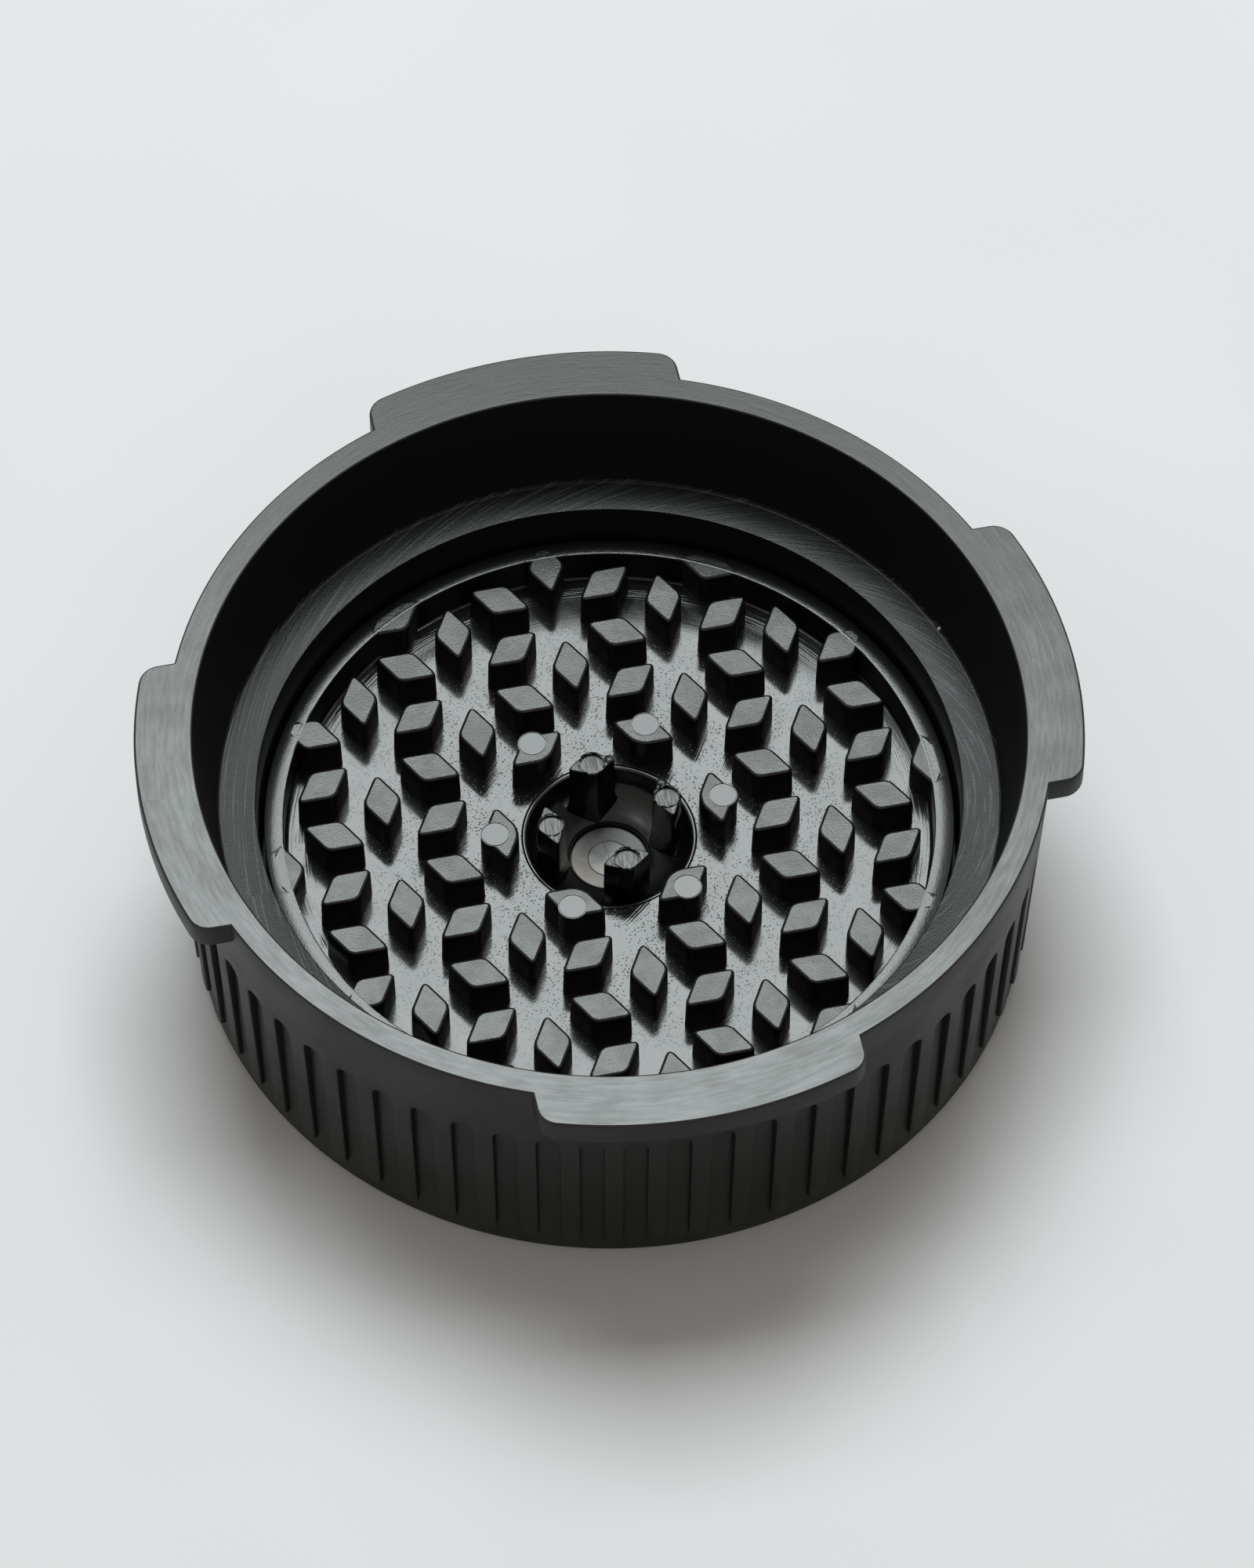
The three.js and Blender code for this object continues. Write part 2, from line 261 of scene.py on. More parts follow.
def flat_tile():
    bpy.ops.mesh.primitive_plane_add(size=MM, rotation=(math.pi / 2, 0, 0))
    bpy.context.object.scale = (TILE, RIM_Z - FOOT_EDGE, 1)
    bpy.context.object.location = (0, 0, (RIM_Z + FOOT_EDGE) / 2 * MM)
    tile = started("cap_wall_fine")
    shape(tile)
    cuts = [((x, 0, 0), (1, 0, 0)) for x in (-RIB_HALF, RIB_HALF)]
    cuts += [((0, 0, z), (0, 0, 1)) for z in (RIB_FOOT_Z, BAND_Z)]
    for place, facing in cuts:
        slice_at(place, facing)
    pick("FACE", lambda mid, face: mid.z > BAND_Z or (abs(mid.x) < RIB_HALF and mid.z > RIB_FOOT_Z))
    bpy.ops.mesh.extrude_region_move()
    move(y=-PROUD)
    pick("FACE", lambda mid, face: near(abs(mid.x), TILE / 2) or near(mid.z, RIM_Z))
    bpy.ops.mesh.delete(type="FACE")
    bpy.ops.mesh.select_all(action="SELECT")
    bpy.ops.mesh.dissolve_limited(angle_limit=math.radians(2))
    return tile


def upright_corner(edge, z):
    """An edge that runs straight out of the wall at a corner of the rib."""
    a, b = (v.co / MM for v in edge.verts)
    return abs(a.y - b.y) > PROUD / 2 and near(a.z, z, 0.01) and near(abs(a.x), RIB_HALF, 0.01)


tile = flat_tile()
feet = pick("EDGE", lambda mid, edge: upright_corner(edge, RIB_FOOT_Z))
bpy.ops.mesh.bevel(offset=FOOT_ROUND * MM, segments=6, affect="EDGES")
arches = pick("EDGE", lambda mid, edge: upright_corner(edge, BAND_Z))
bpy.ops.mesh.bevel(offset=ARCH_ROUND * MM, segments=6, affect="EDGES")
outline = pick("EDGE", lambda mid, edge: near(mid.y, -PROUD) and len(edge.link_faces) == 2
               and edge.calc_face_angle() > 1)
bpy.ops.mesh.bevel(offset=OUTLINE_ROUND * MM, segments=2, affect="EDGES")
print(f"tile {TILE:.3f} mm wide: {feet} foot corners, {arches} arch corners, {outline} outline edges")

# %% Cut the tile into narrow strips that will bend well, then lean the rib and the wall
CUT_SIDES, CUT_HEIGHTS = (-1.15, -0.55, 0, 0.55, 1.15), (9, 18, 21.3)


def lean(test, radius_at):
    """Moves each level of the picked vertices to its own distance from the axis."""
    mesh = bmesh.from_edit_mesh(tile.data)
    levels = sorted({round(v.co.z / MM, 3) for v in mesh.verts if test(v.co / MM, v)})
    for z in levels:
        pick("VERT", lambda mid, v: test(mid, v) and near(mid.z, z, 0.0006))
        move(y=radius_at(z))


for x in CUT_SIDES:
    slice_at((x, 0, 0), (1, 0, 0))
for z in CUT_HEIGHTS:
    slice_at((0, 0, z), (0, 0, 1))
face_slope = (RIM_R - RIB_FOOT_R) / (RIM_Z - RIB_FOOT_Z)
wall_slope = (WALL_HEAD_R - WALL_FOOT_R) / BAND_Z
lean(lambda mid, v: mid.y < -PROUD / 2,
     lambda z: PROUD - (RIB_FOOT_R - WALL_FOOT_R) - face_slope * (z - RIB_FOOT_Z))
lean(lambda mid, v: mid.y > -0.02, lambda z: -wall_slope * z)
bpy.ops.object.mode_set(mode="OBJECT")
print(f"tile has {len(tile.data.polygons)} faces")

# %% Row of tiles, bent into the closed wall
only(tile)
row = tile.modifiers.new("row", "ARRAY")
row.count = RIBS
row.use_relative_offset, row.use_constant_offset = False, True
row.constant_offset_displace = (TILE * MM, 0, 0)
row.use_merge_vertices, row.merge_threshold = True, SEAM_WELD
bpy.ops.object.modifier_apply(modifier="row")
hoop = tile.modifiers.new("hoop", "SIMPLE_DEFORM")
hoop.deform_method, hoop.deform_axis, hoop.angle = "BEND", "Z", 2 * math.pi
bpy.ops.object.modifier_apply(modifier="hoop")
tile.location.y = -WALL_FOOT_R * MM
shell = started("cap_shell_fine")
shape(shell)
bpy.ops.mesh.select_all(action="SELECT")
bpy.ops.mesh.remove_doubles(threshold=SEAM_WELD)
loose = pick("EDGE", lambda mid, edge: edge.is_boundary and 1 < mid.z < RIM_Z - 1)
print(f"wall closed, {loose} open edges between its top and its foot")

# %% [markdown]
# ## The inside of the shell
# From the rim the same skin runs down the tapered bore to the ledge for the filter, down past
# the peg floor to a flange, and up and down again round the hidden ring-shaped core-out. We
# keep pulling the wall's own top edge along that profile and close it at the foot, so that the
# shell stays a single closed skin with an even wall.

# %% Pull the wall's top edge through the bore to the foot
BORE_R, BORE_FOOT_R = 32.34, 30.9
LEDGE_Z, LEDGE_R, SEAT_R = 14.55, 27.8, 27.6
LEDGE_FOOT_Z = LEDGE_Z - 0.28                # the ledge falls a little towards the wall
FLANGE_R, FLANGE_TOP, FLANGE_FOOT = 24.8, 5.7, 4.2
CORE_IN_R, CORE_OUT_R, CORE_TOP = 29.5, 31.2, 12.6
FOOT_STEP = 0.09                             # the foot edge turns under in two steps
INSIDE = [(RIM_R, RIM_Z), (BORE_R, RIM_Z), (BORE_FOOT_R, LEDGE_FOOT_Z), (LEDGE_R, LEDGE_Z),
          (SEAT_R, FLANGE_TOP), (FLANGE_R, FLANGE_TOP), (FLANGE_R, FLANGE_FOOT),
          (CORE_IN_R, FLANGE_FOOT), (CORE_IN_R, CORE_TOP), (CORE_OUT_R, CORE_TOP), (CORE_OUT_R, 0)]
pick("EDGE", lambda mid, edge: edge.is_boundary and mid.z > 20)
for here, there in zip(INSIDE, INSIDE[1:]):
    pull(here, there)
pick("EDGE", lambda mid, edge: edge.is_boundary and near(mid.z, FOOT_EDGE))
pull((WALL_FOOT_R, FOOT_EDGE), (WALL_FOOT_R - FOOT_STEP, FOOT_STEP))
pull((WALL_FOOT_R - FOOT_STEP, FOOT_STEP), (WALL_FOOT_R - FOOT_EDGE, 0))
pick("EDGE", lambda mid, edge: edge.is_boundary)
bpy.ops.mesh.bridge_edge_loops()
SHELL_ROUNDS = [(RIM_R, RIM_Z, 0.16, 3), (BORE_R, RIM_Z, 0.14, 3),
                (BORE_FOOT_R, LEDGE_FOOT_Z, 0.3, 3), (LEDGE_R, LEDGE_Z, 0.12, 2),
                (FLANGE_R, FLANGE_TOP, 0.1, 2), (CORE_OUT_R, 0, 0.15, 2)]
for radius, z, width, segments in SHELL_ROUNDS:
    edges = round_ring(radius, z, width, segments)
    print(f"rounded {edges} edges at radius {radius}, height {z}")
bpy.ops.object.mode_set(mode="OBJECT")

# %% [markdown]
# ## The bayonet lugs
# Four lugs lock the cap to its tube. Each is a slab of the rim: parallel ends, rounded corners
# and an outer face that follows the lug circle. It starts as a straight block whose corners are
# easy to round. The block is then cut into strips, and each strip is slid inwards to its place
# on the circle. An exact boolean joins the four copies to the shell, so no seam shows.

# %% Model one lug, copy it, join them
LUG_HALF, LUG_THICK, LUG_CORNER, LUG_ROOT = 12.6, 2.3, 1.2, 33.3
LUG_STRIP, LUG_STRIPS_HALF, LUG_EDGE = 0.92, 12, 0.18


def lug_block():
    bpy.ops.mesh.primitive_cube_add(size=MM)
    block = bpy.context.object
    block.scale = (LUG_R - LUG_ROOT, 2 * LUG_HALF, LUG_THICK)
    block.location = ((LUG_R + LUG_ROOT) / 2 * MM, 0, (RIM_Z - LUG_THICK / 2) * MM)
    lug = started("lug")
    shape(lug)
    pick("EDGE", lambda mid, edge: near(mid.z, RIM_Z - LUG_THICK / 2) and near(mid.x, LUG_R))
    bpy.ops.mesh.bevel(offset=LUG_CORNER * MM, segments=6, affect="EDGES")
    for k in range(-LUG_STRIPS_HALF, LUG_STRIPS_HALF + 1):
        slice_at((0, k * LUG_STRIP, 0), (0, 1, 0))
    pick("EDGE", lambda mid, edge: edge.calc_face_angle() > 0.9 and mid.x > LUG_ROOT + 0.1)
    bpy.ops.mesh.bevel(offset=LUG_EDGE * MM, segments=3, affect="EDGES")
    levels = {round(v.co.y / MM, 3) for v in bmesh.from_edit_mesh(lug.data).verts}
    for y in sorted(levels):
        pick("VERT", lambda mid, v: near(mid.y, y, 0.0006))
        move(x=math.sqrt(LUG_R ** 2 - y ** 2) - LUG_R)
    return finished(lug)


lug = lug_block()
lugs = [lug] + [copied(lug, f"lug_{k}", turn=k * math.pi / 2) for k in range(1, 4)]
combined(shell, joined(lugs, "lugs"), "UNION")
finished(shell)
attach(shell, "cap")
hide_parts("cap_shell")
print("lugs joined at four places, shell now", len(shell.data.vertices), "vertices")

# %% [markdown]
# ## The peg floor
# The paper must not lie flat on the floor, or the coffee could only leave through the middle.
# So the floor carries 72 diamond pegs on a triangular pattern, and the liquid runs between them.
# One peg is a four-sided cylinder squeezed into a diamond, a little wider at its foot so that it
# leaves the mould. It is modelled once and copied to every place, each copy with its own mesh.

# %% Model one peg
FLOOR_Z, FLOOR_UNDER_Z, FLOOR_R, RING_R = 8.25, 6.45, 27.3, 25.75
WELL_HOLE_R = 6.94
PITCH, PEG_HALF, PEG_SQUEEZE = 10, 2.8, math.tan(math.radians(30))
PEG_FOOT_Z = FLOOR_Z - 0.4


def corner_width(radius, angle):
    """How far a bevel reaches along both sides to give a corner that radius."""
    return radius / math.tan(math.radians(angle) / 2)


def diamond(name, half, squeeze, low, high, draft, sharp, blunt, soft, well_side=None):
    """An upright diamond with its long way along X; well_side rounds its corner at -Y more."""
    bpy.ops.mesh.primitive_cylinder_add(
        vertices=4, radius=half * MM, depth=(high - low) * MM, location=(0, 0, (high + low) / 2 * MM))
    bpy.context.object.scale.y = squeeze
    piece = started(name)
    shape(piece)
    pick("VERT", lambda mid, v: near(mid.z, low))
    widen((half + draft) / half)
    edges = lambda test: pick("EDGE", lambda mid, e: near(mid.z, (low + high) / 2) and test(mid))
    edges(lambda mid: abs(mid.x) > half / 2)
    bpy.ops.mesh.bevel(offset=sharp * MM, segments=3, affect="EDGES")
    edges(lambda mid: abs(mid.x) < 0.05 and (well_side is None or mid.y > 0))
    bpy.ops.mesh.bevel(offset=blunt * MM, segments=3, affect="EDGES")
    if well_side:
        edges(lambda mid: abs(mid.x) < 0.05 and mid.y < -half * squeeze / 2)
        bpy.ops.mesh.bevel(offset=well_side * MM, segments=6, affect="EDGES")
    pick("EDGE", lambda mid, e: all(near(v.co.z / MM, high) for v in e.verts))
    bpy.ops.mesh.bevel(offset=soft * MM, segments=3, affect="EDGES")
    return finished(piece)


PEG_DRAFT, PEG_SOFT = 0.1, 0.24
PEG_BLOCK = (PEG_HALF, PEG_SQUEEZE, PEG_FOOT_Z, PEG_TOP_Z, PEG_DRAFT,
             corner_width(0.4, 60), corner_width(0.9, 120), PEG_SOFT)
peg = diamond("peg", *PEG_BLOCK)
well_peg = diamond("well_peg", *PEG_BLOCK, well_side=corner_width(1.8, 120))

# %% Copy the pegs to their places
FIRST_R, INNER_R, LAST_R = 8, 9, 26.2        # the six pegs inside INNER_R face the well


def peg_places():
    """Middles of the edges of a triangular pattern, and which way each edge runs."""
    turns = [math.radians(a) for a in (30, 90, 150)]
    steps = [Vector((math.cos(t), math.sin(t))) * PITCH for t in turns]
    places = []
    for i in range(-5, 6):
        for j in range(-5, 6):
            corner = steps[0] * i + steps[1] * j
            for turn, step in zip(turns, steps):
                middle = corner + step / 2
                if FIRST_R < middle.length < LAST_R:
                    places.append((middle, turn))
    return places


def place_pegs():
    pegs = []
    for k, (middle, turn) in enumerate(peg_places()):
        inner = middle.length < INNER_R
        if inner:
            turn = math.atan2(middle.y, middle.x) - math.pi / 2
        pegs.append(copied(well_peg if inner else peg, f"peg_{k}", turn, middle.x, middle.y))
    print(f"{len(pegs)} pegs placed")
    return joined(pegs, "pegs")


pegs = place_pegs()
bpy.data.objects.remove(peg)
bpy.data.objects.remove(well_peg)

# %% [markdown]
# ## Floor plate, ring and pin bosses
# The plate is turned with its raised outer ring, and the pegs that reach into the ring are
# trimmed first with a round blade so they cannot poke through it. Six round bosses next to the
# well are where the mould's pins pushed the part out; each leaves a fine circle on top.

# %% Turn the plate, trim the pegs, add the pin bosses
RING_TOP_Z = PEG_TOP_Z + 0.03                # a hair above the pegs, so its edge runs on over them
RING_FALL, RING_DRAFT, TRIM_R = 0.15, 0.05, 26.6
FLOOR_STEPS = 192


def disc_tool(name, radius, low, high, steps, x=0.0, y=0.0):
    bpy.ops.mesh.primitive_cylinder_add(vertices=steps, radius=radius * MM, depth=(high - low) * MM,
                                        location=(x * MM, y * MM, (low + high) / 2 * MM))
    return started(name)


plate = turned("peg_floor_fine", [
    (WELL_HOLE_R, FLOOR_UNDER_Z), (FLOOR_R, FLOOR_UNDER_Z), (FLOOR_R, RING_TOP_Z - RING_FALL),
    (RING_R, RING_TOP_Z), (RING_R - RING_DRAFT, FLOOR_Z), (WELL_HOLE_R, FLOOR_Z)], FLOOR_STEPS,
    rounds=((2, 0.1, 2), (3, 0.16, 3), (4, 0.25, 3), (5, 0.06, 2)))
combined(pegs, disc_tool("blade", TRIM_R, 5, 13, FLOOR_STEPS), "INTERSECT")
combined(plate, pegs, "UNION")
PIN_CIRCLE_R, PIN_R, PIN_STEPS = 9.2, 1.15, 40
LINE_IN_R, LINE_OUT_R = PIN_R - 0.1, PIN_R - 0.03
LINE_FOOT_Z, LINE_TOOL_Z = PEG_TOP_Z - 0.06, PEG_TOP_Z + 1
BOSS_TOP_Z = PEG_TOP_Z + 0.004               # clear of the pegs' own level, for the boolean


def pin_bosses():
    """Six bosses round the well, and the tools that cut the fine circle into each."""
    spots = [on_circle(PIN_CIRCLE_R, k * math.pi / 3) for k in range(6)]
    bosses = [disc_tool(f"boss_{k}", PIN_R, PEG_FOOT_Z, BOSS_TOP_Z, PIN_STEPS, x, y)
              for k, (x, y) in enumerate(spots)]
    lines = []
    for k, (x, y) in enumerate(spots):
        line = turned(f"line_{k}", [(LINE_IN_R, LINE_FOOT_Z), (LINE_OUT_R, LINE_FOOT_Z),
                                    (LINE_OUT_R, LINE_TOOL_Z), (LINE_IN_R, LINE_TOOL_Z)], PIN_STEPS)
        line.location = (x * MM, y * MM, 0)
        lines.append(finished(started(f"line_{k}")))
    return joined(bosses, "bosses"), joined(lines, "lines")


bosses, pin_lines = pin_bosses()
combined(plate, bosses, "UNION")
combined(plate, pin_lines, "DIFFERENCE")
finished(plate)
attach(plate, "cap")
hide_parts("peg_floor")

# %% [markdown]
# ## The valve cup
# A small cup is pressed into the middle of the floor. Its smooth wall leads down to a round
# outlet, and four taller posts inside it carry the paper across the well. The posts flare at
# their feet, as moulded posts do, and each has a shallow round mark on top where a pin pushed.

# %% Turn the cup and set the posts in it
CUP_R, CUP_TURN, OUTLET_R, WELL_FLOOR_Z = 6.9, math.radians(5), 3.15, 5.65
CUP_FOOT_Z, CUP_FOOT_BORE_R, CUP_UNDER_Z = 2.4, 5.6, 4.45
POST_CIRCLE_R, POST_HALF, POST_SQUEEZE, POST_FOOT_Z = 4.76, 2.1, 1.22 / 2.1, 5.3
MARK_R, MARK_DEPTH, MARK_STEPS = 0.95, 0.2, 40
POST_TOP_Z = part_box("valve_cup")[1].z / MM


def post_turn(k):
    return CUP_TURN + k * math.pi / 2


def flared_post():
    post = diamond("post", POST_HALF, POST_SQUEEZE, POST_FOOT_Z, POST_TOP_Z, 0.05,
                   corner_width(0.25, 55), corner_width(0.3, 125), 0.12)
    shape(post)
    flare = ((7.4, 1.01), (7.1, 1.03), (6.8, 1.06), (6.5, 1.1), (6.2, 1.16), (5.9, 1.24),
             (POST_FOOT_Z, 1.36))
    for z, _ in flare[:-1]:
        slice_at((0, 0, z), (0, 0, 1))
    for z, factor in flare:
        pick("VERT", lambda mid, v: near(mid.z, z, 0.01))
        widen(factor)
    bpy.ops.object.mode_set(mode="OBJECT")
    post.rotation_euler.z = math.pi / 2
    post.location.x = POST_CIRCLE_R * MM
    return started("post")


cup = turned("valve_cup_fine", [
    (CUP_FOOT_BORE_R, CUP_FOOT_Z), (CUP_R, CUP_FOOT_Z), (CUP_R, FLOOR_Z), (6.5, FLOOR_Z),
    (6.34, 7.4), (6.16, 6.98), (5.86, 6.68), (5.4, 6.42), (4.7, 6.13), (3.9, 5.86),
    (OUTLET_R, WELL_FLOOR_Z), (OUTLET_R, CUP_UNDER_Z), (CUP_FOOT_BORE_R, CUP_UNDER_Z)], 144,
    rounds=((1, 0.1, 2), (2, 0.06, 2), (3, 0.26, 4), (10, 0.18, 3)))
post = flared_post()
posts = [copied(post, f"post_{k}", turn=post_turn(k)) for k in range(4)]
bpy.data.objects.remove(post)
combined(cup, joined(posts, "posts"), "UNION")
marks = [disc_tool(f"mark_{k}", MARK_R, POST_TOP_Z - MARK_DEPTH, POST_TOP_Z + 1, MARK_STEPS,
                   *on_circle(POST_CIRCLE_R, post_turn(k))) for k in range(4)]
combined(cup, joined(marks, "marks"), "DIFFERENCE")


def ragged(piece, low, offset, seed):
    """Shakes the vertices above a height, as torn plastic is."""
    shape(piece)
    pick("VERT", lambda mid, v: mid.z > low)
    bpy.ops.transform.vertex_random(offset=offset * MM, uniform=1.0, normal=0.0, seed=seed)
    return finished(piece)


FLASH_FOOT_Z, FLASH_TOP_Z, FLASH_SHAKE = POST_TOP_Z - 0.12, POST_TOP_Z + 0.07, 0.055
CRUMB_R, CRUMB_SQUASH, CRUMB_SHAKE = 0.42, 0.45, 0.04


def flash(k):
    """The raised, torn edge that the pin left round one mark."""
    inner = MARK_R + 0.02
    edge = turned(f"flash_{k}", [(inner, FLASH_FOOT_Z), (inner + 0.12, FLASH_FOOT_Z),
                                 (inner + 0.1, FLASH_TOP_Z), (inner + 0.03, FLASH_TOP_Z)], 36)
    x, y = on_circle(POST_CIRCLE_R, post_turn(k))
    edge.location = (x * MM, y * MM, 0)
    return ragged(started(f"flash_{k}"), POST_TOP_Z, FLASH_SHAKE, k + 1)


def crumb(k, along, seed):
    """A torn crumb near one tip of a post."""
    bpy.ops.mesh.primitive_ico_sphere_add(subdivisions=2, radius=CRUMB_R * MM)
    bpy.context.object.scale.z = CRUMB_SQUASH
    turn = post_turn(k)
    middle = Vector((math.cos(turn), math.sin(turn))) * POST_CIRCLE_R
    middle += Vector((-math.sin(turn), math.cos(turn))) * along
    bpy.context.object.location = (middle.x * MM, middle.y * MM, (POST_TOP_Z - 0.02) * MM)
    return ragged(started(f"crumb_{k}"), POST_TOP_Z - 1, CRUMB_SHAKE, seed)


for k, along, seed in ((1, -1.42, 4), (0, 1.4, 9)):
    combined(cup, crumb(k, along, seed), "UNION")
for k in range(4):
    combined(cup, flash(k), "UNION")
finished(cup)
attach(cup, "cap")
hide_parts("valve_cup")

# %% [markdown]
# ## The slit valve
# The valve is a soft silicone disc with a cross cut into it. It stays shut until the plunger
# pushes, and then its four petals fold down. The body is turned. Each petal is the quarter that
# two cuts leave of a low dome, so that the edges of the petals meet along the slits.

# %% Turn the valve body and cut the four petals
VALVE_TOP_Z, VALVE_R, LIP_R, PETAL_R, SLIT = 5.1, 3.09, 1.7, 1.68, 0.02
VALVE_FOOT_R, VALVE_FOOT_Z, LIP_FLARE_Z, LIP_THICK = 2.4, 3.55, 4.5, 0.15
VALVE_FLANGE_R, VALVE_FLANGE_TOP = 5.3, 4.35
DOME = [(PETAL_R, VALVE_TOP_Z), (1.5, 5.11), (1.2, 5.125), (0.8, 5.14), (0.4, 5.145), (0.02, 5.145)]
DOME_UNDER = [(0.02, 4.5), (0.7, 4.5), (1.3, 4.52), (PETAL_R - 0.12, 4.8)]
valve = turned("valve_flange_fine", [
    (VALVE_FOOT_R, VALVE_FOOT_Z), (VALVE_FLANGE_R, VALVE_FOOT_Z), (VALVE_FLANGE_R, VALVE_FLANGE_TOP),
    (VALVE_R, VALVE_FLANGE_TOP), (VALVE_R, VALVE_TOP_Z), (LIP_R, VALVE_TOP_Z),
    (LIP_R, VALVE_TOP_Z - LIP_THICK), (VALVE_FOOT_R, LIP_FLARE_Z)], 128,
    rounds=((4, 0.14, 3), (5, 0.05, 2), (2, 0.1, 2)))
finished(valve)
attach(valve, "cap")
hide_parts("valve_flange")


def cut_petal(k):
    """The dome is pulled from its rim to its tip, then all but one quarter is cut away."""
    petal = turned(f"valve_petal_{k + 1}_fine", DOME + DOME_UNDER, 96, rounds=((0, 0.03, 2),))
    shape(petal)
    middle = CUP_TURN + math.pi / 4 + k * math.pi / 2
    for side in (-1, 1):
        normal = middle + side * math.pi * 3 / 4
        facing = Vector((math.cos(normal), math.sin(normal), 0))
        slice_at(-facing * (SLIT / 2), facing, clear_outer=True, use_fill=True)
    finished(petal)
    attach(petal, f"petal_{k + 1}")
    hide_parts(f"valve_petal_{k + 1}")
    return petal


petals = [cut_petal(k) for k in range(4)]

# %% [markdown]
# ## The closing pieces underneath
# Below the valve a retainer ring holds it in the cup, and a plain cover closes the cap and is
# the face it stands on. They are simple turned pieces, but their edges are broken as well,
# because the underside is what one sees when the cap is locked on.

# %% Turn the retainer and the base cover
RETAINER_IN_R, RETAINER_OUT_R, RETAINER_FOOT_Z, RETAINER_TOP_Z = 2.8, 5.4, 2.2, 3.45
COVER_FOOT_Z, COVER_TOP_Z, COVER_R, COVER_WALL_R, COVER_WALL_TOP = 0.5, 2.1, 31.0, 29.8, 5.5
COLLAR_IN_R, COLLAR_OUT_R, COLLAR_TOP = 7.2, 8.4, 4.5
MOUTH_OUT_R, MOUTH_IN_R = 5.2, 3.6           # the mouth widens towards the outside
retainer = turned("valve_retainer_fine", [
    (RETAINER_IN_R, RETAINER_FOOT_Z), (RETAINER_OUT_R, RETAINER_FOOT_Z),
    (RETAINER_OUT_R, RETAINER_TOP_Z), (RETAINER_IN_R, RETAINER_TOP_Z)], 96,
    rounds=((0, 0.25, 3), (1, 0.1, 2), (2, 0.1, 2), (3, 0.1, 2)))
cover = turned("base_cover_fine", [
    (MOUTH_OUT_R, COVER_FOOT_Z), (COVER_R, COVER_FOOT_Z), (COVER_R, COVER_WALL_TOP),
    (COVER_WALL_R, COVER_WALL_TOP), (COVER_WALL_R, COVER_TOP_Z), (COLLAR_OUT_R, COVER_TOP_Z),
    (COLLAR_OUT_R, COLLAR_TOP), (COLLAR_IN_R, COLLAR_TOP), (COLLAR_IN_R, COVER_TOP_Z),
    (MOUTH_IN_R, COVER_TOP_Z)], 192,
    rounds=((0, 0.3, 3), (1, 0.2, 3), (2, 0.1, 2), (6, 0.1, 2), (9, 0.15, 2)))
for piece, node, stuff in ((retainer, "valve_retainer", "cover_plastic"),
                           (cover, "base_cover", "cover_plastic")):
    finished(piece)
    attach(piece, "cap")
    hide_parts(node)

# %% [markdown]
# ## Drawing shader nodes
# A finish is a small drawing of nodes. `Draft` keeps such a drawing readable: `put` adds a node
# and fills its inputs with numbers or with the outputs of earlier nodes, and `calc` adds one
# step of arithmetic. Effects that several finishes share become node groups with named inputs
# and outputs, so each finish only says how coarse or how strong the effect is.

# %% Helpers for nodes and groups
class Draft:
    def __init__(self, tree):
        self.tree = tree

    def put(self, kind, inputs=None, **settings):
        made = self.tree.nodes.new(kind)
        made.location = (len(self.tree.nodes) * 190, -(len(self.tree.nodes) % 4) * 160)
        for name, value in settings.items():
            setattr(made, name, value)
        for name, value in (inputs or {}).items():
            if isinstance(value, bpy.types.NodeSocket):
                self.tree.links.new(value, made.inputs[name])
            else:
                made.inputs[name].default_value = value
        return made

    def calc(self, operation, *values):
        return self.put("ShaderNodeMath", dict(enumerate(values)), operation=operation).outputs[0]

    def between(self, value, low, high, to_low=0.0, to_high=1.0):
        """Maps a value smoothly from one span to another, without leaving it."""
        return self.put("ShaderNodeMapRange", {
            "Value": value, "From Min": low, "From Max": high, "To Min": to_low, "To Max": to_high,
        }, interpolation_type="SMOOTHSTEP").outputs[0]

    def noise(self, vector, scale, detail=2.0, roughness=0.5):
        return self.put("ShaderNodeTexNoise", {
            "Vector": vector, "Scale": scale, "Detail": detail, "Roughness": roughness}).outputs[0]


def effect(name, inputs, outputs, draw):
    """A node group: inputs are (name, start value), outputs are names; draw wires them up."""
    tree = bpy.data.node_groups.new(name, "ShaderNodeTree")
    for label, value in inputs:
        kind = "NodeSocketVector" if value is None else "NodeSocketFloat"
        socket = tree.interface.new_socket(label, in_out="INPUT", socket_type=kind)
        if value is not None:
            socket.default_value = value
    for label in outputs:
        tree.interface.new_socket(label, in_out="OUTPUT", socket_type="NodeSocketFloat")
    draft = Draft(tree)
    enter = draft.put("NodeGroupInput").outputs
    leave = draft.put("NodeGroupOutput")
    for label, value in draw(draft, enter).items():
        tree.links.new(value, leave.inputs[label])
    print(f"effect {name}: {len(tree.nodes)} nodes")
    return tree


# %% [markdown]
# ## Shared effects
# Moulded plastic has an even, slightly leathery grain from the steel. Where the steel was turned
# it also carries fine arcs, and where it was milled or brushed it carries short streaks. Small
# pits, dust and slow changes of sheen over a few millimetres do the rest. All of them are heights
# or masks made from Object coordinates, so they stay where they are when the cap is turned.

# %% Grain, turning arcs, streaks, flecks and slow change
def draw_grain(d, enter):
    fine = d.noise(enter["Vector"], d.calc("DIVIDE", 1.0, enter["Cell"]), 3.0, 0.6)
    broad = d.noise(enter["Vector"], d.calc("DIVIDE", 0.3, enter["Cell"]), 1.0)
    height = d.calc("ADD", d.calc("MULTIPLY", fine, 0.7), d.calc("MULTIPLY", broad, 0.3))
    return {"Height": height}


STREAK_R = 0.033                             # metres; turns an angle into a length round the rim


